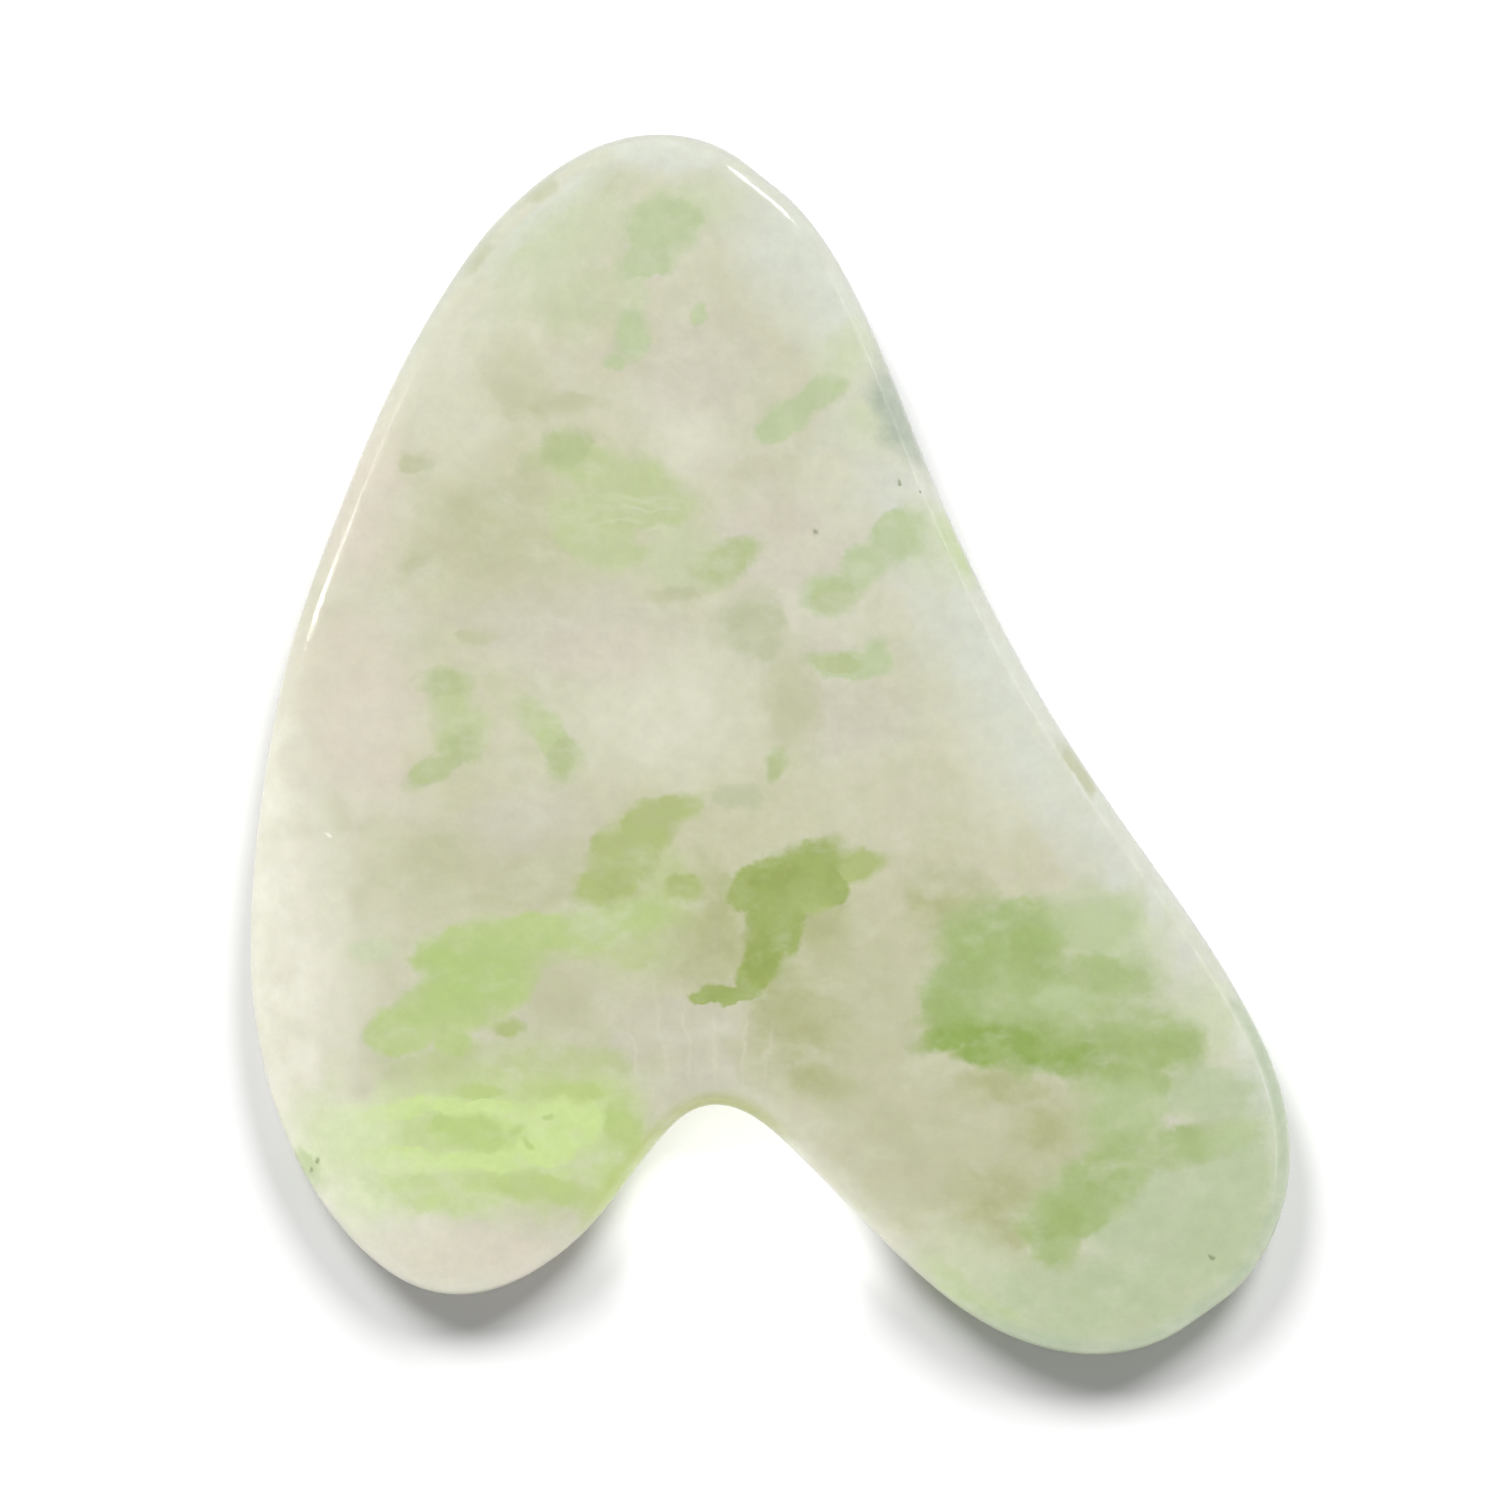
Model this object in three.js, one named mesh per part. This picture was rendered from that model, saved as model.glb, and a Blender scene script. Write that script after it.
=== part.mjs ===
// A gua sha scraping board: one hand-sized plate of polished jade-type stone.
//
// Frame, in millimetres: the board lies on its back face. X and Y run along the plate, Z is its
// thickness, and the origin is under the middle of its bounding box. The rounded head points to +Y,
// and two lobes with a notch between them point to -Y.
import * as THREE from "three";
import { ParametricGeometry } from "three/addons/geometries/ParametricGeometry.js";
import { mergeGeometries, mergeVertices } from "three/addons/utils/BufferGeometryUtils.js";

const THICKNESS = 6; // of the plate between its two flat faces

// How far the edge's rounding reaches in from the rim.
const SCRAPING_EDGE = 6; // the long convex side, ground to a soft taper
const HEAD_EDGE = 4.6;
const HOLLOW_EDGE = 3; // the slightly hollow side opposite the scraping edge
const LOBE_EDGE = 4;
const NOTCH_EDGE = 3.2;

// Stations round the rim, clockwise seen from above: x, y and heading in degrees.
const STATIONS = [
  [-6.9, 37.0, 0], // crown of the head
  [-2.6, 36.0, -31],
  [1.6, 32.7, -47], // shoulder
  [5.9, 25.8, -65],
  [10.5, 14.5, -66], // hollow side
  [15.8, 3.9, -60],
  [23.8, -8.1, -54],
  [29.6, -17.4, -63],
  [31.5, -25.3, -92], // outermost point of the large lobe
  [27.5, -33.8, -139],
  [19.5, -37.0, -181], // tip of the large lobe
  [10.5, -33.4, -219],
  [0.7, -23.9, -224],
  [-3.4, -21.7, -180], // top of the notch
  [-7.6, -25.0, -130],
  [-11.6, -29.9, -138],
  [-19.0, -33.4, -180], // tip of the small lobe
  [-26.3, -28.9, -231],
  [-30.5, -20.4, -255],
  [-31.5, -12.2, -270], // outermost point of the scraping edge
  [-29.8, 2.9, -281],
  [-25.2, 16.5, -291],
  [-18.6, 29.2, -304],
  [-12.8, 35.0, -326],
];

// The edge's width at shares of the way round from the crown, eased in between.
const EDGE_WIDTHS = [
  [0, HEAD_EDGE],
  [0.09, HOLLOW_EDGE],
  [0.24, HOLLOW_EDGE],
  [0.36, LOBE_EDGE],
  [0.44, LOBE_EDGE],
  [0.535, NOTCH_EDGE],
  [0.62, LOBE_EDGE],
  [0.72, SCRAPING_EDGE],
  [0.9, SCRAPING_EDGE],
  [1, HEAD_EDGE],
];

const STRETCH_STEPS = 6; // points on each stretch between two stations
const RIM_STEPS = STATIONS.length * STRETCH_STEPS;
const EDGE_STEPS = 10; // across the edge, from one flat face to the other
const WELD = 1e-3; // vertices closer than this are one

const JADE = { color: 0xccd8ae, roughness: 0.22, metalness: 0 };

// A Bezier curve that leaves and arrives along the headings of two neighbouring stations, and is
// close to a circular arc where they turn evenly.
function curveBetween([x0, y0, heading0], [x1, y1, heading1]) {
  const start = new THREE.Vector2(x0, y0);
  const end = new THREE.Vector2(x1, y1);
  const angle0 = THREE.MathUtils.degToRad(heading0);
  const angle1 = THREE.MathUtils.degToRad(heading1);
  const turn = Math.atan2(Math.sin(angle1 - angle0), Math.cos(angle1 - angle0));
  const reach = start.distanceTo(end) / (3 * Math.cos(turn / 4) ** 2);
  const leave = new THREE.Vector2(Math.cos(angle0), Math.sin(angle0)).multiplyScalar(reach);
  const arrive = new THREE.Vector2(Math.cos(angle1), Math.sin(angle1)).multiplyScalar(reach);
  return new THREE.CubicBezierCurve(start, start.clone().add(leave), end.clone().sub(arrive), end);
}

function edgeWidthAt(share) {
  const i = EDGE_WIDTHS.findIndex(([end]) => end > share);
  const [from, width0] = EDGE_WIDTHS[i - 1];
  const [to, width1] = EDGE_WIDTHS[i];
  return THREE.MathUtils.lerp(width0, width1, THREE.MathUtils.smoothstep(share, from, to));
}

// The rim point, the unit vector into the stone and the edge width, all the way round.
function makeSections() {
  const stretches = STATIONS.map((station, i) =>
    curveBetween(station, STATIONS[(i + 1) % STATIONS.length]),
  );
  const lengths = stretches.map((stretch) => stretch.getLength());
  const around = lengths.reduce((sum, length) => sum + length, 0);
  const sections = [];
  let passed = 0;
  stretches.forEach((stretch, i) => {
    for (let step = 0; step < STRETCH_STEPS; step++) {
      const t = step / STRETCH_STEPS;
      const tangent = stretch.getTangent(t);
      sections.push({
        point: stretch.getPoint(t),
        inward: new THREE.Vector2(tangent.y, -tangent.x),
        width: edgeWidthAt((passed + t * lengths[i]) / around),
      });
    }
    passed += lengths[i];
  });
  return sections;
}

// A point of the elliptical edge: angle -90 degrees is the back face's border, 0 the rim itself,
// and +90 the front face's border.
function edgePoint({ point, inward, width }, angle, target) {
  const inset = width * (1 - Math.cos(angle));
  target.set(
    point.x + inset * inward.x,
    point.y + inset * inward.y,
    (THICKNESS / 2) * (1 + Math.sin(angle)),
  );
}

function makeEdge(sections) {
  const surface = (u, v, target) => {
    const section = sections[Math.round(u * RIM_STEPS) % RIM_STEPS];
    edgePoint(section, (v - 0.5) * Math.PI, target);
  };
  return new ParametricGeometry(surface, RIM_STEPS, EDGE_STEPS);
}

// The flat face inside the rounded edge, facing +Z.
function makeFace(sections) {
  const border = sections.map((section) => {
    const corner = new THREE.Vector3();
    edgePoint(section, Math.PI / 2, corner);
    return new THREE.Vector2(corner.x, corner.y);
  });
  return new THREE.ShapeGeometry(new THREE.Shape(border));
}

function flipFaces(geometry) {
  geometry.index.array.reverse();
  return geometry;
}

function makeBoardGeometry() {
  const sections = makeSections();
  const edge = flipFaces(makeEdge(sections));
  const front = makeFace(sections).translate(0, 0, THICKNESS);
  const back = flipFaces(makeFace(sections));
  const shell = mergeGeometries([edge, front, back]);
  shell.deleteAttribute("normal");
  shell.deleteAttribute("uv");
  const board = mergeVertices(shell, WELD);
  board.computeVertexNormals();
  return board;
}

function makeBoard() {
  const board = new THREE.Mesh(makeBoardGeometry(), new THREE.MeshStandardMaterial(JADE));
  board.name = "jade_board";
  return board;
}

const scraper = new THREE.Group();
scraper.add(makeBoard());

export default scraper;
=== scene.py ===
"""A gua sha scraping board of polished, clouded green jade-type stone, lying on a pale floor.

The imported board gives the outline, the widths of its rounded edge and its thickness. The stone is
rebuilt from those as a fine mesh, with the slight unevenness of hand grinding, and gets a procedural
material. Lengths are in millimetres down to the studio section, which is in metres.
"""
import math

import bmesh
import bpy
import numpy as np
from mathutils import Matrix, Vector, geometry, noise


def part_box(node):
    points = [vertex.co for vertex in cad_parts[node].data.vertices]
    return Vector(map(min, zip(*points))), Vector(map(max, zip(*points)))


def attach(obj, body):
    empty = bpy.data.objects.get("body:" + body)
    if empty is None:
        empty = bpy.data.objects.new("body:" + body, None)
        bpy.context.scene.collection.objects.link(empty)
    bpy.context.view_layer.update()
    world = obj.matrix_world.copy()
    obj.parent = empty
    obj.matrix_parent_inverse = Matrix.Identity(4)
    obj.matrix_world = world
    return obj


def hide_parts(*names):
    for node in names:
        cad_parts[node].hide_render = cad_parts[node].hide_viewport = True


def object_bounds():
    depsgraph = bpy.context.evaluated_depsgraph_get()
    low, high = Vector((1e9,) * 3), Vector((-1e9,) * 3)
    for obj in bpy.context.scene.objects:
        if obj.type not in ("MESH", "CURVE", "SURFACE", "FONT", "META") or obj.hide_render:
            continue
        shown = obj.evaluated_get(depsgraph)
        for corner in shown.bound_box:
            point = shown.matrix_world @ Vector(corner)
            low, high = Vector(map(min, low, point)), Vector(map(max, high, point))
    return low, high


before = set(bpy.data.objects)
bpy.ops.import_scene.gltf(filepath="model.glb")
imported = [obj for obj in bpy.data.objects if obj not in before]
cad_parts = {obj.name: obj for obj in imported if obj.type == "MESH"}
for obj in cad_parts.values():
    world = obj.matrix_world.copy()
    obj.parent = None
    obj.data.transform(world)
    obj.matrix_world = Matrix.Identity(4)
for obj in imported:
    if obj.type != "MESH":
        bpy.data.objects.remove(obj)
cad_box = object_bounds()

MM = 0.001
WELD = 1e-3 * MM  # in metres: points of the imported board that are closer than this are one
NODE = "jade_board"

# ---------------------------------------------------------------- shape of the stone

RIM_SPACING = 0.45  # between points along the rim
FACE_SPACING = 0.62  # between points inside the flat faces
EDGE_STEPS = 32  # across the rounded edge, from one face to the other
RIM_BLUR = 0.9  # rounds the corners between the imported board's rim points
WIDTH_BLUR = 2.0  # evens out the rounded edge's width along the rim
WIDEST_EDGE = 9.0  # the flat face begins nearer to the rim than this everywhere

CONVEX_HULL = 0  # asks the triangulation for plain triangles out to the convex hull
TOLERANCE = 1e-7  # of the triangulation
TINY = 1e-12  # stands in for a zero that would be divided by

WAVINESS = 0.05  # height of the slow unevenness left by hand grinding
WAVE_LENGTH = 9.0

# Places where the rim was ground a little too far: x, y, depth, reach.
RIM_FLATS = [
    (-0.4, 34.2, 0.12, 1.6),
    (26.3, -34.6, 0.2, 2.2),
]

# Pin-sized pits in the upper face: x, y, radius, depth.
DARK_PITS = [
    (2.7, 12.7, 0.16, 0.10),
    (7.7, 15.7, 0.14, 0.08),
    (9.0, 15.4, 0.12, 0.08),
    (-27.8, -25.8, 0.20, 0.12),
    (-27.4, -25.0, 0.18, 0.10),
    (26.6, -30.9, 0.22, 0.12),
]
# A pit whose spot is painted white as a glint of light: x, y, radius, depth.
PIT_WITH_PAINTED_GLINT = (-26.7, -5.4, 0.30, 0.06)
PITS = [*DARK_PITS, PIT_WITH_PAINTED_GLINT]
PINPRICK_SIZE = 0.8  # of the dark spot in a pit, in pit radii
PIT_CLEARING = 3  # the even mesh points keep this many pit radii away
PIT_RINGS = (0.4, 0.8, 1.2, 1.8, 2.6)  # extra mesh points round a pit, in pit radii
PIT_SPOKES = 10


def around(values, sigma):
    """Blurs values spaced evenly round the closed rim. sigma is in steps."""
    count = len(values)
    frequency = np.fft.fftfreq(count)
    kernel = np.exp(-2 * (math.pi * sigma * frequency) ** 2)
    spectrum = np.fft.fft(values, axis=0)
    return np.fft.ifft(spectrum * kernel.reshape(-1, *[1] * (values.ndim - 1)), axis=0).real


def walk_loop(bm, level):
    """The vertices of the board's ring at one height in metres, in order, as x and y."""
    flat = {v.index for v in bm.verts if abs(v.co.z - level) < WELD}
    links = {i: [] for i in flat}
    for edge in bm.edges:
        ends = [v.index for v in edge.verts]
        on_rim = not all(v.index in flat for face in edge.link_faces for v in face.verts)
        if on_rim and flat.issuperset(ends):
            links[ends[0]].append(ends[1])
            links[ends[1]].append(ends[0])
    loop = [min(flat)]
    while len(loop) < len(flat):
        before = loop[-2:-1]
        loop.append([i for i in links[loop[-1]] if [i] != before][0])
    bm.verts.ensure_lookup_table()
    return np.array([bm.verts[i].co.xy for i in loop]) / MM


def resample(loop, spacing):
    """Points at an even spacing along a closed loop."""
    closed = np.vstack([loop, loop[:1]])
    along = np.concatenate([[0], np.cumsum(np.hypot(*np.diff(closed, axis=0).T))])
    count = int(along[-1] / spacing)
    at = np.arange(count) * along[-1] / count
    return np.column_stack([np.interp(at, along, closed[:, k]) for k in (0, 1)])


def inward_normals(rim):
    """Unit vectors from the rim into the stone."""
    along = np.roll(rim, -1, axis=0) - np.roll(rim, 1, axis=0)
    normal = np.column_stack([-along[:, 1], along[:, 0]])
    normal /= np.hypot(*normal.T)[:, None]
    area = np.sum(rim[:, 0] * np.roll(rim[:, 1], -1) - np.roll(rim[:, 0], -1) * rim[:, 1])
    return normal * np.sign(area)


def edge_widths(rim, normal, border):
    """How far in from each rim point the flat face begins, along its normal."""
    offset = border[None, :, :] - rim[:, None, :]
    depth = np.einsum("ijk,ik->ij", offset, normal)
    aside = np.abs(offset[..., 0] * normal[:, None, 1] - offset[..., 1] * normal[:, None, 0])
    aside[(depth < 0) | (depth > WIDEST_EDGE)] = np.inf
    return depth[np.arange(len(rim)), aside.argmin(1)]


def read_board():
    """Rim points, inward normals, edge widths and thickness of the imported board."""
    bm = bmesh.new()
    bm.from_mesh(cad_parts[NODE].data)
    bmesh.ops.remove_doubles(bm, verts=bm.verts, dist=WELD)
    bm.verts.index_update()
    low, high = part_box(NODE)
    rim = walk_loop(bm, (low.z + high.z) / 2)
    border = walk_loop(bm, high.z)
    bm.free()
    rim = around(resample(rim, RIM_SPACING), RIM_BLUR / RIM_SPACING)
    normal = inward_normals(rim)
    width = around(edge_widths(rim, normal, border), WIDTH_BLUR / RIM_SPACING)
    for x, y, depth, reach in RIM_FLATS:
        distance = np.hypot(rim[:, 0] - x, rim[:, 1] - y)
        rim = rim + normal * (depth * np.exp(-((distance / reach) ** 2)))[:, None]
    return rim, normal, width, (high.z - low.z) / MM


def inside(points, loop):
    """Which points lie inside a closed loop."""
    x, y = points[:, :1], points[:, 1:]
    x0, y0 = loop.T
    x1, y1 = np.roll(loop, -1, axis=0).T
    spans = (y0 > y) != (y1 > y)
    crossing = x0 + (y - y0) * (x1 - x0) / np.where(y1 == y0, TINY, y1 - y0)
    return (spans & (x < crossing)).sum(1) % 2 == 1


def staggered_grid(border):
    """Evenly spaced points over the box of a flat face, except near the pits."""
    low, high = border.min(0), border.max(0)
    rows = np.arange(low[1], high[1], FACE_SPACING * math.sqrt(3) / 2)
    points = [
        (x + FACE_SPACING / 2 * (i % 2), y)
        for i, y in enumerate(rows)
        for x in np.arange(low[0], high[0], FACE_SPACING)
    ]
    return [
        point for point in points
        if all(math.dist(point, pit[:2]) > PIT_CLEARING * pit[2] for pit in PITS)
    ]


def face_points(border):
    """Points for the inside of a flat face: a staggered grid, and rings round the pits."""
    points = staggered_grid(border)
    for x, y, radius, _ in PITS:
        points.append((x, y))
        for ring in PIT_RINGS:
            for spoke in range(PIT_SPOKES):
                angle = math.tau * spoke / PIT_SPOKES
                reach = ring * radius
                points.append((x + reach * math.cos(angle), y + reach * math.sin(angle)))
    points = np.array(points)
    points = points[inside(points, border)]
    gap = np.array([np.hypot(*(border - p).T).min() for p in points])
    return points[gap > FACE_SPACING / 2]


def triangulate_face(border):
    """Points and triangles of the flat face. The border's own points come first."""
    count = len(border)
    points = np.vstack([border, face_points(border)])
    sides = [(i, (i + 1) % count) for i in range(count)]
    corners = [Vector(point) for point in points]
    made = geometry.delaunay_2d_cdt(corners, sides, [], CONVEX_HULL, TOLERANCE, True)
    _, _, triangles, origins, *_ = made
    first = [origin[0] for origin in origins]
    triangles = np.array([[first[i] for i in triangle] for triangle in triangles])
    return points, triangles[inside(points[triangles].mean(1), border)]


def build_stone_mesh():
    """Vertices in mm, faces and thickness of the even stone: rings up the edge, and two flat faces."""
    rim, normal, width, thickness = read_board()
    count = len(rim)
    angles = np.linspace(-math.pi / 2, math.pi / 2, EDGE_STEPS + 1)
    inset = width[None, :] * (1 - np.cos(angles))[:, None]
    rings = rim[None] + inset[..., None] * normal[None]
    height = thickness / 2 * (1 + np.sin(angles))
    vertices = [(x, y, z) for ring, z in zip(rings, height) for x, y in ring]
    faces = []
    for step in range(EDGE_STEPS):
        for i in range(count):
            j = (i + 1) % count
            low, high = step * count, (step + 1) * count
            faces.append([low + i, low + j, high + j, high + i])
    points, triangles = triangulate_face(rings[-1])
    for level, flip in ((0, True), (thickness, False)):
        ring_start = 0 if flip else EDGE_STEPS * count
        extra_start = len(vertices) - count
        vertices += [(x, y, level) for x, y in points[count:]]
        for t in triangles:
            face = [int(i) + (ring_start if i < count else extra_start) for i in t]
            faces.append(face[::-1] if flip else face)
    return np.array(vertices), faces, thickness


def uneven(vertices, normals, thickness):
    """Adds the slow waviness of hand grinding, and the pits."""
    waves = [noise.noise(Vector(v) / WAVE_LENGTH) for v in vertices]
    moved = vertices - normals * (WAVINESS * (0.5 + 0.5 * np.array(waves)))[:, None]
    upper = vertices[:, 2] > thickness / 2
    for x, y, radius, depth in PITS:
        distance = np.hypot(vertices[:, 0] - x, vertices[:, 1] - y)
        moved[upper, 2] -= (depth * np.exp(-((distance / radius) ** 2)))[upper]
    return moved


def make_stone():
    """The stone as one object, in metres."""
    vertices, faces, thickness = build_stone_mesh()
    mesh = bpy.data.meshes.new("jade_stone")
    mesh.from_pydata(vertices.tolist(), [], faces)
    bm = bmesh.new()
    bm.from_mesh(mesh)
    bmesh.ops.recalc_face_normals(bm, faces=bm.faces)
    bm.to_mesh(mesh)
    bm.free()
    normals = np.zeros(len(mesh.vertices) * 3)
    mesh.vertices.foreach_get("normal", normals)
    moved = uneven(vertices, normals.reshape(-1, 3), thickness)
    mesh.vertices.foreach_set("co", (moved * MM).ravel())
    mesh.shade_smooth()
    mesh.update()
    stone = bpy.data.objects.new("jade_stone", mesh)
    bpy.context.scene.collection.objects.link(stone)
    return stone


# ---------------------------------------------------------------- the stone's material

LIGHT_LEVEL = 1.285  # brightness of a white matt surface lying face up in the studio
GLOSS_VEIL = 0.03  # light that the polish adds to every colour, seen from above
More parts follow.
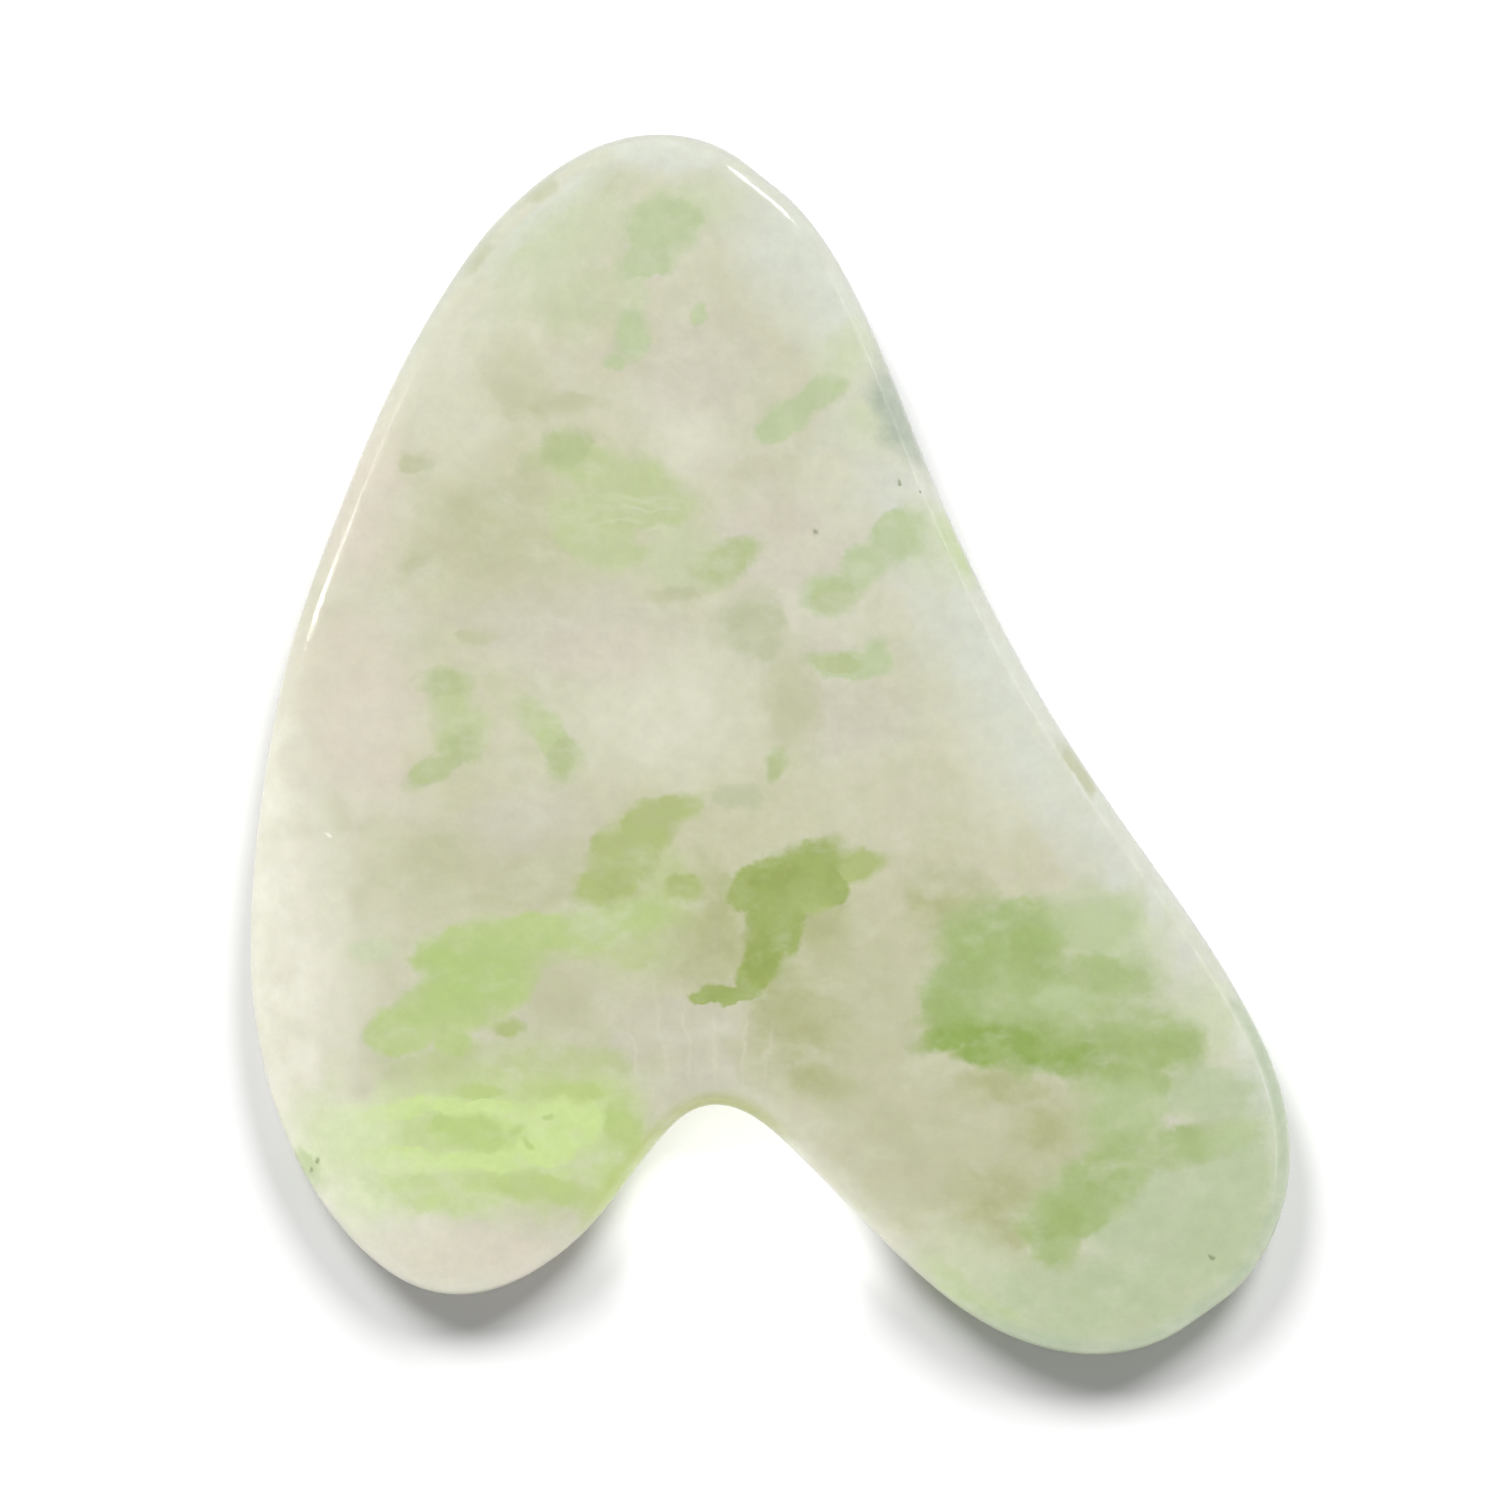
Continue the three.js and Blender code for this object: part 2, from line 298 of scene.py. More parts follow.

# Layers of clouding, from the bottom up, with some painted light among them: painted rim light in the
# ivory layer and along the lobe bottom and the notch's edge in the pale layer, painted highlight bands
# along the rims in the cool pale layer, and a painted glint on one pit. Each: name, colour as seen
# face on in sRGB levels, softness of the border, strength, and the patches: x, y, half length, half
# width, turn in degrees. A softness of 1 blurs the border over about the width of the patch.
LAYERS = [
    ("sand", (204, 203, 170), 0.8, 0.65, [
        (-6.0, -9.0, 18.0, 8.0, -10),
        (9.0, -10.0, 9.0, 8.0, 0),
        (9.0, -22.0, 8.0, 8.0, -30),
        (-14.0, 13.0, 8.0, 6.0, 0),
        (-19.0, 0.0, 4.0, 6.0, 0),
        (-10.0, 25.0, 4.0, 3.0, 0),
    ]),
    # Ivory along the left rims: partly the stone's own paler edge, partly painted light that brightens
    # the rounded rims and the left lobe's bottom.
    ("ivory_and_painted_rim_light", (238, 236, 220), 0.5, 0.92, [
        (-33.0, -9.0, 6.2, 24.0, 8),
        (-24.3, 25.0, 2.8, 14.0, -27),
        (-25.5, -30.0, 4.5, 6.0, 45),
        (-23.0, -29.8, 3.2, 1.6, 30),
    ]),
    # Pale clouding; its patches along the left lobe's bottom and along the notch's edge are painted
    # light on those rims.
    ("pale", (222, 222, 202), 0.6, 0.85, [
        (-17.5, 23.0, 3.0, 6.0, -25),
        (-18.0, -33.0, 8.0, 2.4, 0),
        (-23.0, -28.5, 4.0, 2.4, 30),
        (4.5, -28.3, 8.0, 1.8, -43),
        (-7.0, 1.5, 4.5, 3.0, 0),
        (-5.5, 19.0, 2.0, 2.6, 0),
        (15.0, 0.0, 3.0, 5.0, 30),
    ]),
    # Cool pale clouding; its thin bands along the head's rim and along the right rim are painted
    # highlight lines.
    ("pale_cool_and_painted_highlight", (217, 221, 209), 0.55, 0.85, [
        (14.0, 5.0, 3.0, 15.0, 29),
        (22.0, -6.0, 3.4, 11.0, 32),
        (2.5, 29.0, 3.2, 8.0, 35),
        (12.0, 8.0, 3.0, 3.5, 20),
        (-6.0, 35.6, 4.0, 1.0, -2),
        (-13.0, 32.4, 4.8, 0.8, 40),
        (29.5, -19.0, 1.6, 5.0, 10),
    ]),
    ("blush", (223, 215, 199), 0.6, 0.75, [
        (-25.0, 2.5, 3.2, 5.5, 10),
        (-24.5, 14.0, 2.0, 5.0, -12),
        (-17.5, -31.0, 5.0, 1.6, 0),
        (-10.5, 5.8, 3.2, 1.5, 0),
    ]),
    ("dusk", (207, 203, 186), 0.5, 0.7, [
        (-12.5, 7.5, 5.5, 2.6, -5),
        (-14.5, -5.0, 4.0, 2.0, 5),
        (-5.5, -18.0, 5.0, 2.8, 0),
        (5.0, 1.5, 3.0, 2.0, 0),
        (-4.0, 23.0, 3.0, 3.0, 0),
    ]),
    ("khaki_cloud", (196, 197, 164), 0.55, 0.75, [
        (10.0, -24.5, 6.0, 4.2, -30),
        (6.5, -15.5, 3.4, 4.0, 0),
        (3.0, -18.5, 3.4, 2.4, 0),
        (-13.0, -8.2, 5.5, 1.8, 5),
        (-20.5, -7.0, 3.2, 1.7, 0),
        (-12.5, -15.5, 2.6, 2.2, 0),
        (-15.5, 22.0, 1.8, 2.4, 0),
        (-16.0, 12.5, 4.0, 3.0, 0),
        (1.5, 2.5, 1.4, 2.8, 0),
    ]),
    ("loam", (184, 187, 142), 0.7, 0.85, [
        (1.6, -16.2, 2.6, 2.6, 0),
        (-3.8, -11.5, 2.0, 3.4, 10),
        (14.5, -28.0, 2.8, 2.2, -20),
        (17.5, -23.2, 2.4, 1.8, 0),
        (14.2, -20.6, 2.6, 0.9, -5),
        (3.0, -20.3, 1.8, 0.9, -20),
        (10.5, -9.5, 2.0, 1.6, 0),
        (3.2, -11.0, 1.6, 2.0, 0),
    ]),
    ("soft_green", (208, 216, 184), 0.6, 0.8, [
        (-12.5, 30.3, 4.3, 1.8, 40),
        (9.8, 12.3, 2.1, 1.9, 20),
        (6.0, 19.4, 1.4, 1.3, 0),
        (4.4, 23.4, 2.0, 1.4, 55),
        (-4.0, 32.6, 1.6, 1.3, 0),
        (-8.3, 27.2, 0.9, 1.6, 0),
        (-24.0, -12.4, 1.4, 0.7, 0),
        (12.5, -31.6, 2.8, 1.8, -30),
        (22.0, -12.4, 1.8, 2.6, 20),
        (26.0, -16.6, 2.0, 2.4, 20),
    ]),
    ("grey_green", (202, 208, 174), 0.45, 0.85, [
        (-5.4, 11.4, 2.2, 1.9, 0),
        (-11.5, 26.5, 2.4, 1.6, 30),
    ]),
    ("lime_veil", (194, 204, 153), 0.55, 0.85, [
        (-16.5, -19.3, 6.0, 1.3, 2),
        (-10.2, -19.8, 1.8, 1.4, 0),
        (-6.2, -8.4, 1.5, 2.2, 10),
        (-8.0, -12.5, 2.0, 1.2, 0),
    ]),
    ("lobe_teal", (191, 204, 168), 0.4, 0.9, [
        (25.0, -29.3, 6.0, 5.2, 35),
        (19.5, -33.6, 6.0, 2.6, 0),
        (28.0, -25.5, 2.4, 4.2, 0),
        (26.4, -21.0, 2.8, 1.6, 0),
    ]),
    ("brown_spots", (194, 196, 163), 0.4, 0.85, [
        (-16.8, 15.0, 2.5, 0.8, 14),
        (-14.6, 16.5, 0.9, 0.9, 0),
        (-13.9, 20.3, 0.5, 0.7, 0),
        (-12.4, 20.6, 1.8, 0.5, 0),
        (-21.5, 16.9, 1.0, 0.6, 0),
        (-21.4, 11.0, 0.9, 0.45, 40),
        (-18.0, 6.5, 1.0, 0.4, 0),
        (-5.8, 9.0, 1.5, 0.5, 10),
        (-19.5, -5.8, 0.6, 0.35, 0),
        (-14.3, 33.4, 1.6, 0.5, 35),
        (-17.7, 29.6, 1.3, 0.5, 55),
        (11.0, -8.2, 1.6, 0.7, 0),
        (18.7, -1.5, 0.5, 1.6, 35),
    ]),
    ("ash_spots", (194, 198, 166), 0.3, 0.9, [
        (-1.0, 7.3, 1.8, 1.6, 20),
        (-0.2, 6.0, 1.0, 0.8, 0),
        (-2.0, -3.1, 1.3, 0.75, 0),
        (-1.0, -3.3, 0.5, 0.7, 0),
    ]),
    ("sage", (193, 205, 166), 0.25, 0.97, [
        (-6.4, 31.4, 2.2, 1.7, 15),
        (-7.3, 29.2, 1.6, 1.1, 15),
        (-8.4, 24.6, 0.9, 1.5, 0),
        (-9.2, 22.9, 0.6, 0.4, 0),
        (-4.4, 25.9, 0.4, 0.7, -30),
        (0.9, 19.6, 1.9, 0.95, 38),
        (3.1, 21.1, 1.6, 0.8, 30),
        (3.6, 9.1, 1.8, 1.15, 20),
        (5.6, 10.8, 1.8, 1.1, 40),
        (7.6, 12.6, 1.7, 1.4, 45),
        (4.8, 4.8, 2.3, 0.85, -3),
        (6.4, 5.2, 0.9, 1.0, 0),
    ]),
    ("meadow", (196, 206, 161), 0.28, 0.96, [
        (-9.7, 16.4, 4.3, 1.3, -14),
        (-7.8, 14.5, 3.2, 1.3, 0),
        (-10.8, 13.1, 2.7, 1.9, -30),
        (-9.5, 11.3, 1.9, 0.8, 5),
        (-19.2, 2.4, 1.0, 1.6, 0),
        (-18.6, 0.7, 1.6, 1.4, 45),
        (-13.4, 0.7, 2.3, 0.9, -50),
    ]),
    ("fern", (187, 197, 152), 0.3, 0.97, [
        (-12.3, 17.9, 1.5, 1.1, 0),
        (-19.5, 3.7, 1.5, 0.7, 0),
        (-20.3, -1.5, 1.7, 0.7, 25),
        (-12.5, -0.9, 1.2, 0.9, 60),
        (-2.7, 11.0, 1.9, 1.1, 30),
        (0.35, -1.2, 0.5, 0.9, -20),
        (4.0, 4.9, 1.4, 0.6, 0),
        (3.6, 8.9, 1.3, 0.8, 20),
        (-18.6, 0.0, 1.0, 1.0, 0),
    ]),
    ("lime", (192, 208, 147), 0.26, 0.97, [
        (-8.6, -10.4, 2.8, 1.2, 8),
        (-11.0, -11.2, 2.4, 1.2, 12),
        (-13.8, -11.4, 3.0, 1.2, 5),
        (-17.2, -12.3, 4.0, 1.7, 10),
        (-16.9, -14.2, 2.4, 2.0, 0),
        (-19.0, -15.6, 3.2, 2.0, 25),
        (-22.0, -17.1, 2.2, 1.4, 20),
        (-19.2, -17.9, 1.2, 0.8, 0),
    ]),
    ("lime_deep", (184, 204, 136), 0.5, 0.85, [
        (-17.8, -14.2, 3.6, 1.6, 25),
        (-20.0, -13.0, 1.6, 0.8, 0),
    ]),
    ("lens_mist", (224, 233, 196), 0.5, 0.9, [
        (-25.8, -24.2, 3.0, 2.4, 0),
        (-27.4, -25.2, 2.0, 1.2, 50),
        (-23.5, -26.6, 3.0, 1.6, 20),
    ]),
    ("lens_halo", (203, 218, 160), 0.4, 0.95, [
        (-16.5, -23.8, 7.2, 3.5, -2),
        (-20.8, -23.8, 3.6, 2.6, 0),
        (-10.2, -23.6, 2.4, 3.3, 5),
        (-19.5, -26.6, 4.0, 1.6, -5),
        (-9.6, -26.0, 1.9, 1.6, 45),
    ]),
    ("lens_green", (191, 209, 139), 0.4, 0.85, [
        (-14.0, -26.8, 3.0, 0.8, -8),
        (-12.2, -27.2, 1.4, 0.6, 0),
        (-12.4, -20.9, 2.4, 0.7, -3),
        (-8.9, -22.9, 0.9, 1.4, 15),
        (-17.6, -20.9, 1.4, 0.4, 0),
    ]),
    ("lens_pale", (210, 229, 160), 0.2, 0.92, [
        (-22.3, -22.0, 2.4, 0.6, 12),
        (-18.0, -21.9, 3.2, 0.6, -5),
        (-12.4, -23.0, 2.3, 1.5, 5),
        (-21.8, -25.0, 2.4, 0.7, -8),
        (-17.6, -25.1, 3.0, 0.6, 0),
        (-14.2, -24.6, 2.4, 0.9, 5),
        (-14.8, -22.8, 1.2, 0.7, 0),
    ]),
    ("lens_left", (220, 231, 188), 0.6, 0.8, [
        (-24.4, -23.3, 1.7, 1.6, 0),
        (-22.8, -25.1, 1.8, 0.6, -5),
    ]),
    ("lens_core", (190, 210, 138), 0.35, 0.9, [
        (-17.9, -23.2, 1.9, 0.8, 0),
        (-17.0, -24.0, 1.4, 0.5, 0),
        (-19.6, -22.9, 1.0, 0.5, 0),
        (-15.3, -23.3, 0.5, 0.3, 30),
        (-14.6, -24.1, 0.4, 0.2, -20),
        (-13.4, -22.4, 0.4, 0.2, 0),
    ]),
    ("rim_mint", (197, 211, 163), 0.35, 0.9, [
        (11.2, -32.9, 2.2, 0.8, -45),
        (13.6, -34.3, 1.9, 0.65, -28),
        (11.4, 12.0, 0.7, 2.0, 25),
        (-28.0, -25.6, 1.2, 0.6, -60),
    ]),
    ("leaf", (177, 194, 139), 0.26, 0.95, [
        (12.7, -12.0, 2.5, 2.3, 0),
        (15.1, -11.2, 2.7, 1.8, 0),
        (11.5, -15.2, 2.3, 2.2, 0),
        (14.6, -14.6, 3.6, 3.0, 0),
        (19.6, -14.2, 3.4, 1.5, 0),
        (18.9, -16.4, 4.5, 1.8, 0),
        (23.4, -17.9, 2.6, 1.7, 0),
        (21.5, -20.4, 2.6, 1.1, 0),
        (23.9, -24.3, 3.4, 1.1, 8),
        (20.8, -25.6, 2.3, 1.8, 35),
        (21.2, -22.9, 2.0, 1.8, 0),
        (18.8, -27.9, 2.2, 1.6, 30),
        (19.3, -27.0, 2.3, 1.8, 0),
        (17.2, -28.4, 2.4, 1.6, 30),
        (17.1, -30.2, 1.4, 1.2, 0),
    ]),
    ("leaf_pale", (191, 205, 160), 0.4, 0.85, [
        (19.4, -10.8, 2.7, 1.9, 0),
        (21.6, -21.9, 2.4, 1.4, 0),
        (28.0, -23.5, 1.8, 0.7, 18),
        (17.6, -15.3, 1.7, 0.8, 0),
    ]),
    ("leaf_deep", (168, 187, 124), 0.45, 0.8, [
        (12.3, -12.8, 1.3, 2.4, -15),
        (15.8, -12.4, 1.4, 1.9, 0),
        (10.6, -16.0, 1.2, 1.4, -15),
        (20.6, -18.6, 4.4, 1.3, 0),
        (20.0, -25.9, 1.2, 1.2, 0),
        (17.6, -28.7, 1.5, 0.9, 30),
    ]),
    ("moss", (157, 180, 106), 0.4, 1.0, [
        (11.1, -17.6, 2.1, 0.8, 12),
        (14.1, -18.2, 3.6, 1.3, -8),
        (17.6, -18.9, 2.2, 0.9, 0),
    ]),
    ("olive_pale", (180, 192, 131), 0.25, 0.95, [
        (-5.7, -3.8, 1.6, 0.8, 12),
        (-7.5, -5.0, 1.8, 1.5, 45),
        (-8.9, -6.7, 1.9, 1.8, 50),
        (-9.6, -8.2, 2.3, 1.3, 25),
        (5.2, -7.3, 1.7, 0.9, 15),
        (2.4, -9.1, 1.6, 1.0, 0),
        (-5.2, -8.6, 1.0, 0.8, 0),
        (-15.8, -17.1, 0.9, 0.5, 0),
    ]),
    ("olive", (167, 182, 114), 0.18, 0.98, [
        (0.5, -8.3, 3.2, 1.6, 18),
        (2.3, -7.3, 2.1, 1.4, 30),
        (3.0, -8.6, 1.6, 1.1, 0),
        (0.3, -10.6, 1.6, 2.2, 0),
        (-0.5, -13.0, 2.2, 1.1, 63),
        (-2.7, -15.1, 2.0, 0.6, 4),
    ]),
    ("olive_deep", (160, 174, 103), 0.5, 0.7, [
        (-0.6, -13.0, 1.0, 1.5, 15),
        (0.2, -8.2, 1.4, 0.9, 10),
    ]),
    ("olive_light", (176, 190, 127), 0.6, 0.8, [
        (2.2, -9.2, 1.2, 0.9, 0),
    ]),
    ("scratches", (217, 215, 194), 0.8, 0.55, [
        (-6.6, -17.4, 0.12, 1.9, 8),
        (-5.0, -18.0, 0.10, 2.2, 5),
        (-3.4, -18.4, 0.12, 1.7, 2),
        (-1.6, -18.3, 0.10, 2.0, -4),
        (-0.2, -18.9, 0.12, 1.4, -9),
        (-8.2, -18.6, 0.10, 1.2, 12),
    ]),
    ("streaks", (210, 218, 184), 0.8, 0.5, [
        (-8.4, 14.9, 1.8, 0.12, -6),
        (-7.6, 14.2, 1.5, 0.10, -3),
        (-9.0, 13.4, 1.3, 0.10, 4),
        (-6.6, 13.0, 1.0, 0.10, 0),
    ]),
    # A painted white glint on that pit.
    ("flecks", (245, 246, 233), 0.5, 0.95, [
        (*PIT_WITH_PAINTED_GLINT[:2], 0.26, 0.1, -30),
    ]),
    ("slate", (177, 187, 171), 0.4, 1.0, [
        (7.8, 19.9, 1.2, 2.4, 22),
        (7.2, 20.6, 0.9, 1.4, 20),
    ]),
    ("pinpricks", (132, 144, 104), 0.5, 0.6, [
        (x, y, PINPRICK_SIZE * radius, PINPRICK_SIZE * radius, 0) for x, y, radius, _ in DARK_PITS
    ]),
]

# Painted light and shade on the rounded edge: painted shade as a darker outline, on the lobes' edges
# and on the head's outer edge; the slate spot's grey carried down the edge and darkened there as
# painted shade; and a painted yellow-green glow of light through the thin edge in the notch. Each:
# name, colour as seen, heights, softness, strength and patches. Each fades out from the first height
# to the second.
PAINTED_EDGE_LIGHT_AND_SHADE = [
    # Painted shade: a darker outline low on the head's and the right side's edge.
    ("painted_outline_shade", (196, 199, 192), (3.4, 4.3), 0.3, 0.8, [(12.0, 8.0, 42.0, 11.0, -57)]),
    # Painted shade on the lobes' lower edges.
    ("painted_lobe_edge_shade", (182, 196, 166), (4.6, 5.3), 0.4, 0.85, [
        (31.0, -22.5, 4.0, 9.0, 0),
        (25.0, -36.0, 8.0, 4.0, 30),
        (15.0, -37.0, 4.0, 3.0, 0),
    ]),
    # The slate spot's grey carried down the edge, darkened there as painted shade.
    ("slate_and_painted_edge_shade", (184, 191, 176), (4.4, 5.2), 0.5, 0.7, [(9.2, 20.0, 1.6, 3.6, 22)]),
    # Painted shade on the outer part of the head's upper-left edge.
    ("painted_head_edge_shade", (203, 207, 190), (3.6, 4.8), 0.5, 0.8, [(-16.0, 30.5, 9.0, 3.0, 55)]),
    # Painted yellow-green glow of light through the thin edge of the notch.
    ("painted_notch_edge_glow", (181, 186, 112), (4.2, 5.4), 0.6, 0.95, [
        (-3.0, -21.8, 4.6, 2.6, 0),
        (-7.6, -25.0, 3.6, 2.2, 50),
    ]),
    # Painted yellow-green glow on the notch's inner left edge.
    ("painted_inner_edge_glow", (192, 210, 130), (4.8, 5.6), 0.6, 0.85, [(-8.6, -26.2, 2.4, 1.8, 55)]),
]

MERGE = 0.25  # how readily neighbouring patches run together
WARP = 1.3  # how far the clouding pushes the patches about
RAGGED = 0.16  # how much the fine clouding moves a patch's border
SPREAD = 0.07  # how far the patches reach past their ellipses

# Colours of the ground and the wisps, as seen face on in sRGB levels.
GREIGE = (209, 208, 184)
LIGHT_GREIGE = (217, 217, 197)
KHAKI = (198, 198, 170)
PINK_GREY = (211, 206, 191)
MILK = (220, 222, 202)

# Noise patterns: scale per mm, detail, roughness.
WARP_NOISE = (0.8, 5.0, 0.52)  # pushes the patches about
SOFTNESS_NOISE = (0.35, 1.0, 0.5)  # makes borders crisp or soft
RAGGED_NOISE = (0.9, 4.0, 0.65)  # moves the patches' borders
MOTTLE_NOISE = (0.45, 4.0, 0.62)  # makes the patches thinner in places
GROUND_NOISE = (0.11, 5.0, 0.62)
WISP_NOISE = (1.0, 3.0, 0.6)
GRAIN_NOISE = (0.9, 5.0, 0.75)
POLISH_NOISE = (0.6, 3.0, 0.6)
RELIEF_NOISE = (2.2, 2.0, 0.6)

# Ramps: two levels of the noise, and what the first and the second become.
SOFTNESS_RAMP = (0.35, 0.65, 0.6, 2.4)  # times a layer's softness
MOTTLE_RAMP = (0.3, 0.6, 0.84, 1.04)
LIGHT_GROUND_RAMP = (0.36, 0.62, 0.0, 1.0)
PINK_GROUND_RAMP = (0.5, 0.7, 0.0, 1.0)
STAIN_RAMP = (0.52, 0.75, 0.0, 0.7)
WISP_RAMP = (0.48, 0.8, 0.0, 0.4)
GRAIN_RAMP = (0.3, 0.7, 0.96, 1.04)
ROUGHNESS_RAMP = (0.3, 0.7, 0.09, 0.2)

WISP_STRETCH = (0.3, 0.5, 0.4)  # the smaller, the longer the wisps along that axis
REFRACTION = 1.57
SCATTERING = 0.4  # share of the stone's colour that comes from light spreading inside
SCATTER_RADIUS = (1.0, 1.15, 0.6)  # of red, green and blue, in scatter depths
SCATTER_DEPTH = 1.2
RELIEF_STRENGTH = 0.3
RELIEF_HEIGHT = 0.03


def linear(level):
    """One sRGB level, 0 to 255, as a linear value."""
    share = level / 255
    return share / 12.92 if share <= 0.04045 else ((share + 0.055) / 1.055) ** 2.4


def stone_colour(seen):
    """The stone's own colour, for a colour as it is seen face on in the studio."""
    return tuple(max(0.0, linear(level) - GLOSS_VEIL) / LIGHT_LEVEL for level in seen) + (1.0,)


class Graph:
    """Adds nodes to a material and links them."""

    # Sockets of a Mix node that mixes colours, which share their names with others.
    MIX_A, MIX_B, MIX_RESULT = 6, 7, 2

    def __init__(self, tree):
        self.tree = tree

    def add(self, kind, inputs=None, **settings):
        node = self.tree.nodes.new(kind)
        for name, value in settings.items():
            setattr(node, name, value)
        for name, value in (inputs or {}).items():
            self.set(node.inputs[name], value)
        return node

    def set(self, socket, value):
        if isinstance(value, bpy.types.NodeSocket):
            self.tree.links.new(value, socket)
        else:
            socket.default_value = value

    def calculate(self, kind, operation, values):
        node = self.add(kind, operation=operation)
        for socket, value in zip(node.inputs, values):
            self.set(socket, value)
        return node.outputs[0]

    def math(self, operation, *values):
        return self.calculate("ShaderNodeMath", operation, values)

    def vector(self, operation, *values):
        return self.calculate("ShaderNodeVectorMath", operation, values)

    def scaled(self, vector, factor):
        node = self.add("ShaderNodeVectorMath", {"Vector": vector, "Scale": factor}, operation="SCALE")
        return node.outputs["Vector"]

    def noise(self, vector, pattern):
        scale, detail, roughness = pattern
        inputs = {"Vector": vector, "Scale": scale, "Detail": detail, "Roughness": roughness}
        return self.add("ShaderNodeTexNoise", inputs)

    def ramp(self, value, low, high, out_low, out_high):
        inputs = {
            "Value": value,
            "From Min": low,
            "From Max": high,
            "To Min": out_low,
            "To Max": out_high,
        }
        node = self.add("ShaderNodeMapRange", inputs, interpolation_type="SMOOTHSTEP")
        return node.outputs["Result"]

    def mix(self, factor, a, b, blend="MIX"):
        node = self.add("ShaderNodeMix", data_type="RGBA", blend_type=blend)
        self.set(node.inputs["Factor"], factor)
        self.set(node.inputs[self.MIX_A], a)
        self.set(node.inputs[self.MIX_B], b)
        return node.outputs[self.MIX_RESULT]


def warped(graph, place):
    """The place, pushed about so that ellipses get cloudy, ragged borders."""
    cloud = graph.noise(place, WARP_NOISE).outputs["Color"]
    push = graph.vector("SUBTRACT", cloud, (0.5, 0.5, 0.5))
    return graph.vector("ADD", place, graph.scaled(push, WARP))


def ellipse_terms(patch):
    """Factors of x and y, and constants, that give the place along and across an ellipse."""
    x, y, half_length, half_width, turn = patch
    cos, sin = math.cos(math.radians(turn)), math.sin(math.radians(turn))
    along = (cos / half_length, sin / half_length)
    across = (-sin / half_width, cos / half_width)
    return (*along, -along[0] * x - along[1] * y, *across, -across[0] * x - across[1] * y)


def patch_distance(graph, x, y, patches):
    """Distance from the middle of the nearest ellipse, where 1 is its border.

    Each vector holds the sums for three ellipses at once.
    """
    nearest = None
    for start in range(0, len(patches), 3):
        three = (patches[start:start + 3] * 3)[:3]
        terms = list(zip(*map(ellipse_terms, three)))
        along = graph.vector("MULTIPLY_ADD", y, terms[1], terms[2])
        along = graph.vector("MULTIPLY_ADD", x, terms[0], along)
        across = graph.vector("MULTIPLY_ADD", y, terms[4], terms[5])
        across = graph.vector("MULTIPLY_ADD", x, terms[3], across)
        squared = graph.vector("MULTIPLY", along, along)
        squared = graph.vector("MULTIPLY_ADD", across, across, squared)
        nearest = graph.vector("MINIMUM", nearest, squared) if nearest else squared
    one, two, three = graph.add("ShaderNodeSeparateXYZ", {"Vector": nearest}).outputs
    nearest = graph.math("SMOOTH_MIN", graph.math("SMOOTH_MIN", one, two, MERGE), three, MERGE)
    return graph.math("SQRT", nearest)


def patch_mask(graph, distance, ragged, drift, softness):
    """1 inside the patches, 0 outside, with borders crisp in some places and soft in others."""
    distance = graph.math("ADD", distance, ragged)
    level_low, level_high, crisp, soft = SOFTNESS_RAMP
    reach = graph.ramp(drift, level_low, level_high, crisp * softness, soft * softness)
    low = graph.math("SUBTRACT", 1.0, reach)
    high = graph.math("ADD", 1.0, reach)
    return graph.ramp(distance, low, high, 1.0, 0.0)


def mottling(graph, place):
    """Three uneven levels near 1 that make the patches thinner in places."""
    clouds = graph.noise(place, MOTTLE_NOISE).outputs["Color"]
    channels = graph.add("ShaderNodeSeparateColor", {"Color": clouds}).outputs[:3]
    return [graph.ramp(channel, *MOTTLE_RAMP) for channel in channels]


def same_three(graph, value):
    """A vector with one value in all three places."""
    inputs = {"X": value, "Y": value, "Z": value}
    return graph.add("ShaderNodeCombineXYZ", inputs).outputs[0]


def base_colour(graph, place):
    """The uneven greyish ground between the green patches."""
    clouds = graph.noise(place, GROUND_NOISE)
    lightness = graph.ramp(clouds.outputs["Fac"], *LIGHT_GROUND_RAMP)
    colour = graph.mix(lightness, stone_colour(GREIGE), stone_colour(LIGHT_GREIGE))
    pink, stain, _ = graph.add("ShaderNodeSeparateColor", {"Color": clouds.outputs["Color"]}).outputs
    colour = graph.mix(graph.ramp(pink, *PINK_GROUND_RAMP), colour, stone_colour(PINK_GREY))
    return graph.mix(graph.ramp(stain, *STAIN_RAMP), colour, stone_colour(KHAKI))


def finished_colour(graph, place, colour):
    """Milky wisps over everything, and fine lighter and darker flecks."""
    stretched = graph.vector("MULTIPLY", place, WISP_STRETCH)
    wisps = graph.noise(stretched, WISP_NOISE).outputs["Fac"]
    colour = graph.mix(graph.ramp(wisps, *WISP_RAMP), colour, stone_colour(MILK))
    grain = graph.noise(place, GRAIN_NOISE).outputs["Fac"]
    level = graph.ramp(grain, *GRAIN_RAMP)
    inputs = {"Red": level, "Green": level, "Blue": level}
    level = graph.add("ShaderNodeCombineColor", inputs).outputs["Color"]
    return graph.mix(1.0, colour, level, "MULTIPLY")


